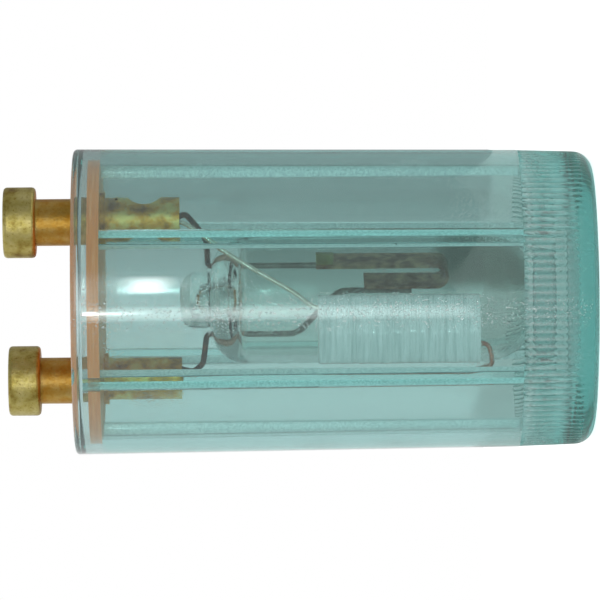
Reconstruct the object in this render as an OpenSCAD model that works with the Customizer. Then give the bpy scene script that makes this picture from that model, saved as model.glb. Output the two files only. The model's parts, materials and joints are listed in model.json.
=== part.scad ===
// Fluorescent lamp starter: a clear moulded can with a glow bulb and a film capacitor inside
// It stands on its closed end, with the axis of the can on Z and the pins at the top

/* [Can] */
// Outer diameter of the can at its open rim
can_rim_d = 21; // [20:0.1:23]
// Outer diameter of the can where the ridged grip starts
can_grip_d = 20.45; // [19.6:0.05:20.6]
// Length of the can
can_length = 35.6; // [33:0.1:40]
// Thickness of the can's wall
wall = 1; // [0.9:0.05:1.2]
// Radius that rounds the outer edge of the closed end
can_corner_r = 1.3; // [0.8:0.1:1.8]

/* [Grip] */
// Length of the ridged grip at the closed end
grip_length = 5.1; // [4.2:0.1:6.5]
// Number of ridges round the grip
ridge_count = 120; // [60:10:130]
// Depth of the grooves between the ridges
ridge_depth = 0.16; // [0.1:0.02:0.24]
// How much narrower the grip is at the closed end
grip_taper = 0.3; // [0.2:0.1:0.8]
// Thickness of the end wall
end_wall = 0.7; // [0.6:0.1:1.5]
// Thickness of the wall inside the grip
grip_wall = 1.7; // [1.4:0.1:2]

/* [Ribs] */
// Number of ribs inside the can
rib_count = 6; // [3:1:8]
// Width of a rib
rib_width = 0.9; // [0.6:0.1:1.2]
// How far a rib stands in from the bore
rib_height = 0.75; // [0.4:0.05:0.9]
// Turn of the first rib from the pin line
rib_turn = 27; // [20:1:34]

/* [Disc] */
// Thickness of the phenolic disc
disc_thickness = 0.8; // [0.8:0.1:1.2]
// Thickness of the can's wall round the disc
seat_wall = 0.65; // [0.6:0.05:0.85]
// Depth of the counterbore from the rim
seat_depth = 1.9; // [1.7:0.1:2.2]
// How far the lip holds over the disc
lip_reach = 0.3; // [0.1:0.05:0.4]

/* [Pins] */
// Distance between the pin centres
pin_spacing = 12.7; // [12:0.1:13]
// Diameter of a pin head
pin_head_d = 4.83; // [4.4:0.01:5]
// Thickness of a pin head
pin_head_length = 2.2; // [1.7:0.1:2.6]
// How far the pins stand out of the rim
pin_reach = 4.7; // [4.2:0.1:5]
// Diameter of a pin's tube
pin_d = 3; // [2.6:0.1:3.2]
// Diameter of the neck between the disc and the head
pin_neck_d = 3.2; // [2.8:0.1:3.6]
// Bore of the pin's tube
pin_bore_d = 2.3; // [2:0.1:2.4]
// Length of the tube behind the disc
pin_tail = 5.4; // [4.5:0.1:6]

/* [Glow bulb] */
// Diameter of the glass bulb
bulb_d = 9; // [8.2:0.1:9.2]
// Thickness of the bulb's glass
bulb_wall = 0.55; // [0.4:0.05:0.7]
// Height of the bulb's domed tip
bulb_base_z = 3; // [2.6:0.1:4]
// Distance from the bulb's glass shoulder to the ends of the pins
bulb_gap = 2.1; // [1.8:0.1:3]
// Diameter of the exhaust tip
tip_d = 3.9; // [3:0.1:4.2]
// Length of the exhaust tip
tip_length = 2.2; // [1.8:0.1:2.4]
// Distance between the wires in the glass
stem_pitch = 4.8; // [4.4:0.1:5]

/* [Electrodes] */
// Width of the bimetal strip
strip_width = 2.2; // [1.6:0.1:2.8]
// Thickness of the bimetal strip
strip_thickness = 0.2; // [0.15:0.05:0.3]
// Length of the strip's fixed limb
strip_length = 8.3; // [7:0.1:9]
// Radius of the strip's bend, to its middle
strip_bend_r = 0.8; // [0.6:0.1:0.9]
// Diameter of the posts inside the bulb
post_d = 0.44; // [0.36:0.02:0.5]
// Distance from the glass to the strip's welded end
strip_drop = 5.4; // [4.8:0.1:6]
// Distance between the fixed electrode and the strip's free limb
contact_gap = 0.45; // [0.3:0.05:0.6]
// Turn of the strip round its post, toward the front
strip_turn = 28; // [0:1:40]

/* [Capacitor] */
// Diameter of the wound roll
roll_d = 5; // [4.4:0.1:5.2]
// Length of the wound roll
roll_length = 11; // [10:0.1:12]
// Height of the roll's lower end
roll_base_z = 7.9; // [7:0.1:9]
// Number of turns that show on the ends of the roll
roll_turns = 6; // [3:1:7]

/* [Wires] */
// Diameter of the bulb's leads
lead_d = 0.36; // [0.3:0.02:0.42]
// Diameter of the capacitor's leads
cap_lead_d = 0.32; // [0.28:0.02:0.4]
// Clearance between pieces that are laid in place
fit_gap = 0.08; // [0.05:0.01:0.12]
// Clearance round a wire that goes through a piece
wire_gap = 0.03; // [0.02:0.01:0.05]

/* [Hidden] */

// Fineness of true circles
$fn = 48;
// Steps in a quarter of a rounded edge
arc_steps = 5;
// Corners round a wire
wire_sides = 8;

// Radii of the can
rim_r = can_rim_d / 2;
grip_r = can_grip_d / 2;
grip_end_r = grip_r - grip_taper / 2;
bore_r = rim_r - wall;
deep_bore_r = grip_r - wall;
grip_bore_r = grip_r - grip_wall;
seat_r = rim_r - seat_wall;
lip_r = seat_r - lip_reach;
// Height of the face that the disc lies on
seat_z = can_length - seat_depth;
// Height of the lip's lower edge, with room over the disc
lip_room = 0.35;
lip_z = seat_z + disc_thickness + lip_room;
// How much the lip's mouth widens to the rim
lip_flare = 0.2;
// Rounding of the rim's outer edge
rim_bevel = 0.3;
// Rounding inside the deep end
bore_corner_r = 1.5;
// Height of the narrow bore, and of the cone that widens from it
bore_step = 1.6;
grip_bore_z = max(grip_length - bore_step, end_wall + bore_corner_r + 0.1);
// The ridges lie a little under the smooth wall above them
ridge_drop = 0.03;
// Slope on each side of a rib
rib_draft = 0.08;
// How far a rib is rooted in the walls it meets
rib_root = 0.2;
// The key rib is the one that runs on to the rim
key_rib = 4;
key_turn = rib_turn + min(key_rib, rib_count - 1) * 360 / rib_count;

disc_r = seat_r - fit_gap;
disc_top_z = seat_z + disc_thickness;

pin_r = pin_d / 2;
pin_x = pin_spacing / 2;
pin_top_z = can_length + pin_reach;
pin_end_z = seat_z - pin_tail;
// The pin is turned down where it passes the disc, and staked behind it
pin_waist_r = pin_r - 0.2;
collar_reach = 0.35;
collar_r = pin_r + collar_reach;
collar_length = 0.35;
// Rounding of a pin's head
head_edge = 0.25;

// The bulb and the capacitor lie side by side, square to a line that is turned from the pins
inner_turn = 31;
// A place by its distance along that turned line, its distance in front of it, and its height
function at(along, front, z) = [
    along * cos(inner_turn) + front * sin(inner_turn),
    along * sin(inner_turn) - front * cos(inner_turn),
    z
];
pin_along = pin_x * cos(inner_turn);
pin_front = pin_x * sin(inner_turn);

bulb_r = bulb_d / 2;
bulb_along = 0.05;
bulb_front = -3.3;
bulb_top_z = pin_end_z - bulb_gap;
bulb_inner_r = bulb_r - bulb_wall;
// Thickness of the pressed glass end
stem_thickness = 1.5;
stem_z = bulb_top_z - stem_thickness;
stem_hole_r = lead_d / 2 + wire_gap;
wire_a_along = bulb_along + stem_pitch / 2;
wire_b_along = bulb_along - stem_pitch / 2;

roll_r = roll_d / 2;
roll_along = -1.9;
roll_front = 3.8;
roll_top_z = roll_base_z + roll_length;

// Depth of the short bore behind the crimp, and of the open tube
crimp_depth = 1.4;
tube_depth = pin_tail + disc_thickness + 2;
// The two dents that press pin A flat
dent_r = 1.6;
dent_depth = 0.5;
dent_z = pin_end_z + crimp_depth + 1;

// Rounding of the bulb's shoulder, which the stem carries
shoulder_r = 2.4;
shoulder_z = bulb_top_z - shoulder_r;
// Bore of the exhaust tube, the melted glass that seals it, and the cone under the seal
tube_bore_r = 0.9;
tip_seal = 1.1;
tip_taper = 0.6;
tip_fillet = 0.15;
// How far the pressed glass swells into the bulb
pinch_swell = 0.22;

// Heights of the weld between a lead and its post, and of the post's end
lead_stub = 0.35;
weld_z = stem_z - lead_stub;
// Distance from the post's axis to the middle of the strip's fixed limb, and to the fixed electrode
strip_offset = post_d / 2 + strip_thickness / 2;
electrode_offset = strip_offset - 2 * strip_bend_r - strip_thickness / 2 - contact_gap - post_d / 2;
strip_top_z = weld_z - strip_drop;
// The strip's free limb is this share of its fixed limb
free_limb = 0.6;
bracket_length = 1.2;
bracket_width = strip_width - 0.4;
bracket_sheet = 0.2;
bracket_fold = 0.75;
post_end_z = strip_top_z - bracket_length - fit_gap;
electrode_along = wire_a_along + electrode_offset * cos(strip_turn);
electrode_front = bulb_front + electrode_offset * sin(strip_turn);

// Step of the roll's last turn, and the open middle that it was wound on
film_step = 0.06;
roll_middle_r = 0.4;
turn_pitch = (roll_r - roll_middle_r) / (roll_turns + 1);
turn_depth = 0.12;
// Places and depth of the leads in the roll's ends
cap_a_offset = 1.45;
cap_b_offset = -1;
cap_lead_in = 1.2;
cap_hole_r = cap_lead_d / 2 + wire_gap;

// Heights between the bulb's end and the pins' ends, and between the roll and the pins
function over_bulb(share) = bulb_top_z + share * (pin_end_z - bulb_top_z);
function over_roll(share) = roll_top_z + share * (pin_end_z - roll_top_z);
// Place of each wire in its pin's bore: beside the axis, clear of the other wire
bore_side = pin_bore_d / 2 - lead_d / 2 - fit_gap;
crimp_end_z = pin_end_z + crimp_depth - 3 * wire_gap;
// Room between a wire that is bent and what it passes
bend_room = 0.3;

// Routes of the wires, from a pin to the bulb or the capacitor
lead_a_route = [
    at(pin_along - 0.1, pin_front - bore_side * 0.7, crimp_end_z),
    at(pin_along + 0.1, pin_front - bore_side * 0.6, pin_end_z + bend_room),
    at(pin_along + 0.45, pin_front - bore_side * 0.7, over_bulb(0.83)),
    at(pin_along + 0.1, pin_front - bore_side, over_bulb(0.67)),
    at(pin_along - 0.5, pin_front - 2.1, over_bulb(0.4)),
    at(wire_a_along + 1.6, bulb_front + 1.3, over_bulb(0.28)),
    at(wire_a_along, bulb_front, bulb_top_z + lead_d + fit_gap),
    at(wire_a_along, bulb_front, weld_z)
];
lead_b_route = [
    at(bore_side * 0.8 - pin_along, -pin_front - bore_side * 0.5, pin_end_z + pin_tail / 2),
    at(bore_side * 0.8 - pin_along, -pin_front - bore_side * 0.5, pin_end_z + bend_room),
    at(0.45 - pin_along, -pin_front - 0.2, over_bulb(0.62)),
    at(1 - pin_along, -pin_front, over_bulb(0.3)),
    at(wire_b_along, bulb_front, bulb_top_z + lead_d),
    at(wire_b_along, bulb_front, weld_z)
];
electrode_route = [
    at(wire_b_along, bulb_front, weld_z),
    at(wire_b_along, bulb_front, weld_z - strip_drop * 0.75),
    at(electrode_along, electrode_front, weld_z - strip_drop * 1.3),
    at(electrode_along, electrode_front, strip_top_z - strip_length * 0.8)
];
cap_a_route = [
    at(roll_along + cap_a_offset, roll_front, roll_top_z - cap_lead_in + wire_gap),
    at(roll_along + cap_a_offset, roll_front, roll_top_z + bend_room),
    at(0.5, roll_front, over_roll(0.17)),
    at(1.2, roll_front, over_roll(0.3)),
    at(2, roll_front - 0.1, over_roll(0.45)),
    at(2.75, roll_front - 0.1, over_roll(0.585)),
    at(4, roll_front - 0.2, over_roll(0.79)),
    at(pin_along - 0.15, pin_front + bore_side * 0.6, pin_end_z - bend_room),
    at(pin_along - 0.15, pin_front + bore_side * 0.6, crimp_end_z)
];
cap_b_route = [
    at(roll_along + cap_b_offset, roll_front, roll_base_z + cap_lead_in - wire_gap),
    at(roll_along + cap_b_offset, roll_front, roll_base_z - 2 * bend_room),
    at(roll_along - roll_r, roll_front, roll_base_z - 3 * bend_room),
    at(roll_along - roll_r - bend_room, roll_front - 0.2, roll_base_z + 2 * bend_room),
    at(roll_along - roll_r - bend_room, roll_front - 0.5, roll_top_z - 2 * bend_room),
    at(roll_along - roll_r - bend_room, roll_front - 2, over_roll(0.37)),
    at(0.3 - pin_along, -pin_front + 2.2, over_roll(0.8)),
    at(bore_side * 0.2 - pin_along, -pin_front + bore_side * 0.95, pin_end_z - bend_room),
    at(bore_side * 0.2 - pin_along, -pin_front + bore_side * 0.95, pin_end_z + pin_tail / 2)
];

// Points of an arc in a plane, with its two ends
function arc(centre, r, from, to, steps = arc_steps) = [
    for (i = [0:steps])
        let (angle = from + (to - from) * i / steps)
        centre + r * [cos(angle), sin(angle)]
];

function unit(v) = v / norm(v);

// A route whose inner corners are rounded by short curves that reach cut along each side
function rounded_route(route, cut, steps = 3) = [
    for (i = [0:len(route) - 1])
        if (i == 0 || i == len(route) - 1)
            route[i]
        else
            let (
                corner = route[i],
                before = corner + cut * unit(route[i - 1] - corner),
                after = corner + cut * unit(route[i + 1] - corner)
            )
            for (k = [0:steps])
                let (t = k / steps)
                (1 - t) * (1 - t) * before + 2 * t * (1 - t) * corner + t * t * after
];

function tangent(route, i) =
    let (
        last = len(route) - 1,
        into = unit(route[max(i, 1)] - route[max(i, 1) - 1]),
        out = unit(route[min(i, last - 1) + 1] - route[min(i, last - 1)])
    )
    unit(into + out);

// A sideways direction at each point of a route, carried along without twist
function side_vectors(route, carried = [1, 0.3, 0.1], i = 0) =
    let (
        t = tangent(route, i),
        side = unit(carried - (carried * t) * t)
    )
    i == len(route) - 1 ? [side] : concat([side], side_vectors(route, side, i + 1));

// A round wire along a route
module wire(route, d, cut) {
    path = rounded_route(route, cut);
    sides = side_vectors(path);
    rings = len(path);
    points = [
        for (i = [0:rings - 1], k = [0:wire_sides - 1])
            let (
                across = cross(tangent(path, i), sides[i]),
                angle = 360 * k / wire_sides
            )
            path[i] + d / 2 * (cos(angle) * sides[i] + sin(angle) * across)
    ];
    walls = [
        for (i = [0:rings - 2], k = [0:wire_sides - 1])
            let (next = (k + 1) % wire_sides)
            each [
                [i * wire_sides + k, (i + 1) * wire_sides + k, i * wire_sides + next],
                [i * wire_sides + next, (i + 1) * wire_sides + k, (i + 1) * wire_sides + next]
            ]
    ];
    start_cap = [for (k = [0:wire_sides - 1]) k];
    end_cap = [for (k = [wire_sides - 1:-1:0]) (rings - 1) * wire_sides + k];
    polyhedron(points = points, faces = concat([start_cap], walls, [end_cap]));
}

// Outline of the grip with its ridges, at its wide end
module ridge_outline() {
    polygon([
        for (i = [0:2 * ridge_count - 1])
            let (
                r = grip_r - ridge_drop - (i % 2) * ridge_depth,
                angle = 180 * i / ridge_count
            )
            r * [cos(angle), sin(angle)]
    ]);
}

// The ridged end, which narrows a little and has a rounded edge
module grip() {
    shrink = grip_end_r / grip_r;
    intersection() {
        mirror([0, 0, 1])
            translate([0, 0, -grip_length])
                linear_extrude(height = grip_length, scale = shrink)
                    ridge_outline();
        rotate_extrude()
            polygon(concat(
                [[0, 0]],
                arc([grip_end_r - can_corner_r, can_corner_r], can_corner_r, -90, 0),
                [[grip_r + 1, can_corner_r + 1], [grip_r + 1, grip_length], [0, grip_length]]
            ));
    }
}

module can_body() {
    rotate_extrude()
        polygon([
            [0, grip_length],
            [grip_r, grip_length],
            [rim_r, can_length - rim_bevel],
            [rim_r - rim_bevel, can_length],
            [0, can_length]
        ]);
}

module can_bore() {
    rotate_extrude()
        polygon(concat(
            [[0, end_wall]],
            arc([grip_bore_r - bore_corner_r, end_wall + bore_corner_r], bore_corner_r, -90, 0),
            [
                [grip_bore_r, grip_bore_z],
                [deep_bore_r, grip_length],
                [bore_r, seat_z],
                [seat_r, seat_z],
                [seat_r, lip_z],
                [lip_r, lip_z + lip_reach],
                [lip_r + lip_flare, can_length],
                [lip_r + lip_flare, can_length + 1],
                [0, can_length + 1]
            ]
        ));
}

// A stretch of a rib, which is wider toward the wall that it joins
module rib(outer, from_z, to_z) {
    inner = deep_bore_r - rib_height;
    tip = rib_width / 2 - rib_draft;
    root = tip + rib_draft * (outer - inner) / (seat_r - inner);
    translate([0, 0, from_z])
        linear_extrude(height = to_z - from_z)
            polygon([[inner, -tip], [outer, -root], [outer, root], [inner, tip]]);
}

module can() {
    color([0.55, 0.85, 0.83, 0.4]) {
        difference() {
            union() {
                grip();
                can_body();
            }
            can_bore();
        }
        for (i = [0:rib_count - 1])
            rotate([0, 0, rib_turn + i * 360 / rib_count])
                rib(bore_r + rib_root, grip_bore_z - 2 * rib_root, seat_z);
        rotate([0, 0, key_turn])
            rib(seat_r + rib_root, seat_z - rib_root, lip_z);
    }
}

// A disc of layered paper and resin, drilled for the pins and notched for the key rib
module base_disc() {
    color([0.78, 0.56, 0.36])
        translate([0, 0, seat_z])
            difference() {
                cylinder(r = disc_r, h = disc_thickness);
                for (side = [-1, 1])
                    translate([side * pin_x, 0, -1])
                        cylinder(r = pin_waist_r + wire_gap, h = disc_thickness + 2);
                rotate([0, 0, key_turn])
                    translate([deep_bore_r - rib_height - fit_gap, -rib_width / 2 - fit_gap, -1])
                        cube([2, rib_width + 2 * fit_gap, disc_thickness + 2]);
            }
}

// The turned outside of a pin: tube, staked collar, waist in the disc, neck and rounded head
module pin_body() {
    head_r = pin_head_d / 2;
    head_z = pin_top_z - pin_head_length;
    rotate_extrude()
        polygon(concat(
            [
                [0, pin_end_z],
                [pin_r, pin_end_z],
                [pin_r, seat_z - collar_length],
                [collar_r, seat_z - collar_length],
                [collar_r, seat_z],
                [pin_waist_r, seat_z],
                [pin_waist_r, disc_top_z],
                [pin_neck_d / 2, disc_top_z],
                [pin_neck_d / 2, head_z]
            ],
            arc([head_r - head_edge, head_z + head_edge], head_edge, -90, 0, 3),
            arc([head_r - head_edge, pin_top_z - head_edge], head_edge, 0, 90, 3),
            [[0, pin_top_z]]
        ));
}

// The pin whose tube is pressed flat above its open end, which holds the wires
module contact_pin_a() {
    color([0.79, 0.62, 0.27])
        translate([pin_x, 0, 0])
            difference() {
                pin_body();
                translate([0, 0, pin_end_z - 1])
                    cylinder(r = pin_bore_d / 2, h = crimp_depth + 1);
                rotate([0, 0, inner_turn])
                    for (side = [-1, 1])
                        translate([side * (pin_r + dent_r - dent_depth), 0, dent_z])
                            rotate([90, 0, 0])
                                cylinder(r = dent_r, h = pin_d + 2, center = true);
            }
}

// The pin whose tube stays round and open
module contact_pin_b() {
    color([0.79, 0.62, 0.27])
        translate([-pin_x, 0, 0])
            difference() {
                pin_body();
                translate([0, 0, pin_end_z - 1])
                    cylinder(r = pin_bore_d / 2, h = tube_depth + 1);
            }
}

// The blown glass tube with its round end, open where the stem is sealed in
module bulb_envelope() {
    dome = function (r) arc([0, bulb_base_z + bulb_r], r, -90, 0, 12);
    inside = dome(bulb_inner_r);
    color([0.8, 0.95, 0.9, 0.35])
        translate(at(bulb_along, bulb_front, 0))
            rotate_extrude()
                polygon(concat(
                    dome(bulb_r),
                    [[bulb_r, shoulder_z], [bulb_inner_r, shoulder_z]],
                    [for (i = [len(inside) - 1:-1:0]) inside[i]]
                ));
}

// Half section of the pressed glass end with its drawn-off exhaust tip
module stem_section() {
    tip_r = tip_d / 2;
    tip_top_z = bulb_top_z + tip_length;
    tip_round = tip_r * 0.55;
    polygon(concat(
        [
            [tube_bore_r, stem_z - pinch_swell],
            [bulb_r - shoulder_r, stem_z],
            [bulb_inner_r - pinch_swell, stem_z - 2 * pinch_swell],
            [bulb_inner_r, shoulder_z]
        ],
        arc([bulb_r - shoulder_r, shoulder_z], shoulder_r, 0, 90, 8),
        [[tip_r + tip_fillet, bulb_top_z], [tip_r, bulb_top_z + tip_fillet]],
        arc([tip_r - tip_round, tip_top_z - tip_round], tip_round, 0, 90, 6),
        [[0, tip_top_z], [0, tip_top_z - tip_seal], [tube_bore_r, tip_top_z - tip_seal - tip_taper]]
    ));
}

module bulb_stem() {
    color([0.85, 0.95, 0.92, 0.5])
        difference() {
            translate(at(bulb_along, bulb_front, 0))
                rotate_extrude()
                    stem_section();
            for (along = [wire_a_along, wire_b_along])
                translate(at(along, bulb_front, shoulder_z - lead_stub))
                    cylinder(r = stem_hole_r, h = shoulder_r + 2 * lead_stub);
        }
}

module lead_wire_a() {
    color([0.22, 0.15, 0.12])
        wire(lead_a_route, lead_d, 0.35);
}

module lead_wire_b() {
    color([0.22, 0.15, 0.12])
        wire(lead_b_route, lead_d, 0.35);
}

// The thick wire that carries the bimetal strip
module bimetal_post() {
    color([0.25, 0.22, 0.2])
        translate(at(wire_a_along, bulb_front, post_end_z))
            cylinder(d = post_d, h = weld_z - post_end_z);
}

// Sets a piece at a height on the post's axis, turned as the strip is
module beside_post(z) {
    translate(at(wire_a_along, bulb_front, z))
        rotate([0, 0, inner_turn - strip_turn])
            children();
}

// Section of the U-shaped strip, with its bend at the origin
module strip_section() {
    half = strip_thickness / 2;
    polygon(concat(
        [[strip_bend_r - half, strip_length], [strip_bend_r + half, strip_length]],
        arc([0, 0], strip_bend_r + half, 0, -180, 16),
        [[-strip_bend_r - half, strip_length * free_limb], [-strip_bend_r + half, strip_length * free_limb]],
        arc([0, 0], strip_bend_r - half, -180, 0, 16)
    ));
}

module bimetal_strip() {
    color([0.45, 0.25, 0.18])
        beside_post(strip_top_z - strip_length)
            translate([strip_offset - strip_bend_r, 0, 0])
                rotate([90, 0, 0])
                    translate([0, 0, -strip_width / 2])
                        linear_extrude(height = strip_width)
                            strip_section();
}

// A folded tab on the welded end of the strip
module strip_bracket() {
    color([0.5, 0.48, 0.3])
        beside_post(strip_top_z - bracket_length)
            translate([strip_offset + strip_thickness / 2, -bracket_width / 2, 0]) {
                cube([bracket_sheet, bracket_width, bracket_length]);
                cube([bracket_fold, bracket_sheet, bracket_length]);
            }
}

// The other electrode, which stops short of the strip's free limb
module fixed_electrode() {
    color([0.3, 0.27, 0.24])
        wire(electrode_route, post_d, 0.6);
}

// The wound roll, with the step of its last turn, its open middle and the turns on its ends
module capacitor_roll() {
    steps = 60;
    color([0.86, 0.88, 0.87])
        translate(at(roll_along, roll_front, roll_base_z))
            rotate([0, 0, inner_turn])
                difference() {
                    linear_extrude(height = roll_length)
                        polygon([
                            for (i = [0:steps])
                                let (angle = 360 * i / steps - 70)
                                (roll_r - film_step * i / steps) * [cos(angle), sin(angle)]
                        ]);
                    translate([0, 0, -1])
                        cylinder(r = roll_middle_r, h = roll_length + 2);
                    for (i = [1:roll_turns])
                        for (z = [-1, roll_length - turn_depth])
                            translate([0, 0, z])
                                turn_groove(roll_middle_r + i * turn_pitch);
                    translate([cap_a_offset, 0, roll_length - cap_lead_in])
                        cylinder(r = cap_hole_r, h = cap_lead_in + 1);
                    translate([cap_b_offset, 0, -1])
                        cylinder(r = cap_hole_r, h = cap_lead_in + 1);
                }
}

// A thin ring that parts two turns of film
module turn_groove(r) {
    difference() {
        cylinder(r = r + 0.05, h = 1 + turn_depth);
        translate([0, 0, -1])
            cylinder(r = r - 0.05, h = 3 + turn_depth);
    }
}

module capacitor_lead_a() {
    color([0.8, 0.78, 0.72])
        wire(cap_a_route, cap_lead_d, 0.5);
}

module capacitor_lead_b() {
    color([0.68, 0.36, 0.26])
        wire(cap_b_route, cap_lead_d, 0.5);
}

can();
base_disc();
contact_pin_a();
contact_pin_b();
bulb_envelope();
bulb_stem();
lead_wire_a();
lead_wire_b();
bimetal_post();
bimetal_strip();
strip_bracket();
fixed_electrode();
capacitor_roll();
capacitor_lead_a();
capacitor_lead_b();
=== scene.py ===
"""Fluorescent starter: a clear ribbed can with a glow bulb and a film capacitor inside, and its studio."""

import json
import math

import bmesh
import bpy
from bpy.props import FloatProperty, FloatVectorProperty, IntProperty, PointerProperty
from mathutils import Matrix, Vector, noise

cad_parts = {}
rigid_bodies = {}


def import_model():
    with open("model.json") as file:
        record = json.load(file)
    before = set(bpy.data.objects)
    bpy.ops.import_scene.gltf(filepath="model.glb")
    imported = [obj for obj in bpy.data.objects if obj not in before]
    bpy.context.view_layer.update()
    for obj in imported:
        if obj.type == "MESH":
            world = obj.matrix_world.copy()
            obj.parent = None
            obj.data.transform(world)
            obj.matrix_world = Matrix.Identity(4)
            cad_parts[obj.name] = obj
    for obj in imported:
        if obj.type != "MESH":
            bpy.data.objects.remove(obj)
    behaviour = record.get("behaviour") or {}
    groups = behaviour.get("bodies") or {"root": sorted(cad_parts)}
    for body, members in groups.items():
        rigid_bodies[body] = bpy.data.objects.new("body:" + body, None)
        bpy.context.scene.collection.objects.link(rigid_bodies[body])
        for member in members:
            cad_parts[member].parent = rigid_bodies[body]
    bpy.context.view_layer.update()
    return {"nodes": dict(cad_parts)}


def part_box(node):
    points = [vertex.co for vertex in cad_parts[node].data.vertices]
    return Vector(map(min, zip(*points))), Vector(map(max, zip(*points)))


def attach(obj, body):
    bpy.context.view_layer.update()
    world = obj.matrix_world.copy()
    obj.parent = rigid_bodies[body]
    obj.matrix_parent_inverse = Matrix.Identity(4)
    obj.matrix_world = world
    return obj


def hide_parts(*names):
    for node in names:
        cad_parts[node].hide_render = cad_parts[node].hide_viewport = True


bl_info = {
    "name": "Fluorescent Starter",
    "version": (1, 0, 0),
    "blender": (4, 5, 0),
    "location": "View3D > Sidebar > Starter",
    "description": "Dresses a fluorescent starter and lights it",
    "category": "Object",
}

# A new file's cube, lamp and camera aren't part of the starter
for leftover in list(bpy.data.objects):
    bpy.data.objects.remove(leftover)

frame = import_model()
NODES = frame["nodes"]
MM = 0.001

# The row of inner parts is turned by this much from the line of the pins
INNER_TURN = math.radians(31)
SIDEWAYS = Vector((math.cos(INNER_TURN), math.sin(INNER_TURN), 0))
FORWARD = Vector((math.sin(INNER_TURN), -math.cos(INNER_TURN), 0))

# Heights in millimetres, read from the CAD pieces
CAN_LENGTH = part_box("can")[1].z / MM
PIN_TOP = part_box("contact_pin_a")[1].z / MM
PIN_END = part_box("contact_pin_a")[0].z / MM
DISC_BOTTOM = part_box("base_disc")[0].z / MM
ROLL_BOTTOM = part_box("capacitor_roll")[0].z / MM
ROLL_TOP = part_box("capacitor_roll")[1].z / MM
BULB_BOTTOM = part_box("bulb_envelope")[0].z / MM
TIP_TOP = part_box("bulb_stem")[1].z / MM
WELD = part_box("bimetal_post")[1].z / MM


def at(along, front, height):
    """A place by its distances in millimetres along the turned line, in front of it, and up."""
    return (along * SIDEWAYS + front * FORWARD + Vector((0, 0, height))) * MM


HALF_PIN_SPACING = 6.35
PIN_ALONG = HALF_PIN_SPACING * math.cos(INNER_TURN)
PIN_FRONT = HALF_PIN_SPACING * math.sin(INNER_TURN)
# From a pin's axis to a wire that lies against its bore
WIRE_OFFSET = 0.89
BULB_ALONG = 0.05
BULB_FRONT = -3.3
# The bulb's shoulder, under its exhaust tip
SEAL_TOP = TIP_TOP - 2.2
# From the bulb's axis to each of its wires
WIRE_SPREAD = 2.4
ROLL_ALONG = -2.0
ROLL_FRONT = 3.8


def linear(hex_colour):
    """An sRGB hex colour as linear red, green, blue and alpha."""
    values = [int(hex_colour[i : i + 2], 16) / 255 for i in (1, 3, 5)]
    return [v / 12.92 if v <= 0.04045 else ((v + 0.055) / 1.055) ** 2.4 for v in values] + [1.0]


def colour_property(name, description, hex_colour):
    return FloatVectorProperty(
        name=name, description=description, default=linear(hex_colour)[:3], min=0, max=1, subtype="COLOR"
    )


def length_property(name, description, millimetres):
    return FloatProperty(
        name=name, description=description, default=millimetres * MM, min=0, unit="LENGTH", precision=5
    )


# Node trees


def new_material(name):
    """A material whose node tree holds only its output."""
    material = bpy.data.materials.new(name)
    material.use_nodes = True
    material.node_tree.nodes.clear()
    output = material.node_tree.nodes.new("ShaderNodeOutputMaterial")
    return material, material.node_tree, output


def add_node(tree, kind, settings=None, inputs=None, links=None):
    """Adds a node with its settings, its input values and the outputs that feed its inputs."""
    node = tree.nodes.new(kind)
    for name, value in (settings or {}).items():
        setattr(node, name, value)
    for name, value in (inputs or {}).items():
        node.inputs[name].default_value = value
    for name, source in (links or {}).items():
        tree.links.new(source, node.inputs[name])
    return node


def feed(tree, socket, value):
    """Gives a socket an output, a hex colour, a colour or a number."""
    if isinstance(value, bpy.types.NodeSocket):
        tree.links.new(value, socket)
    elif isinstance(value, str):
        socket.default_value = linear(value)
    elif isinstance(value, (int, float)):
        socket.default_value = value
    else:
        socket.default_value = [*value[:3], 1]


def calculate(tree, operation, *values, clamp=False):
    """A Math node's result, from outputs or numbers."""
    node = add_node(tree, "ShaderNodeMath", {"operation": operation, "use_clamp": clamp})
    for socket, value in zip(node.inputs, values):
        feed(tree, socket, value)
    return node.outputs[0]


def mix_colours(tree, factor, first, second, blend="MIX"):
    mix = add_node(tree, "ShaderNodeMix", {"data_type": "RGBA", "blend_type": blend})
    for place, value in ((0, factor), (6, first), (7, second)):
        feed(tree, mix.inputs[place], value)
    return mix.outputs[2]


def ramp(tree, factor, stops):
    """A colour ramp of (place, colour) stops, where a colour is a hex string, a colour or a grey."""
    node = add_node(tree, "ShaderNodeValToRGB", links={"Fac": factor})
    elements = node.color_ramp.elements
    while len(elements) > 1:
        elements.remove(elements[-1])
    for i, (place, colour) in enumerate(stops):
        element = elements[0] if i == 0 else elements.new(place)
        element.position = place
        if isinstance(colour, str):
            colour = linear(colour)
        elif isinstance(colour, (int, float)):
            colour = (colour, colour, colour)
        element.color = [*colour[:3], 1]
    return node.outputs["Color"]


def object_place(tree):
    return add_node(tree, "ShaderNodeTexCoord").outputs["Object"]


def distance_along(tree, place, direction):
    """How far a place lies along a direction, in millimetres."""
    product = add_node(
        tree,
        "ShaderNodeVectorMath",
        {"operation": "DOT_PRODUCT"},
        inputs={1: direction / MM},
        links={0: place},
    )
    return product.outputs["Value"]


def grain(tree, place, size_mm, detail=3.0, roughness=0.5, stretch=None):
    """Noise whose grain measures size_mm, made finer along each axis by stretch."""
    if stretch:
        mapping = add_node(
            tree,
            "ShaderNodeMapping",
            inputs={"Scale": stretch},
            links={"Vector": place},
        )
        place = mapping.outputs["Vector"]
    texture = add_node(
        tree,
        "ShaderNodeTexNoise",
        inputs={"Scale": 1 / (size_mm * MM), "Detail": detail, "Roughness": roughness},
        links={"Vector": place},
    )
    return texture.outputs["Fac"]


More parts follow.
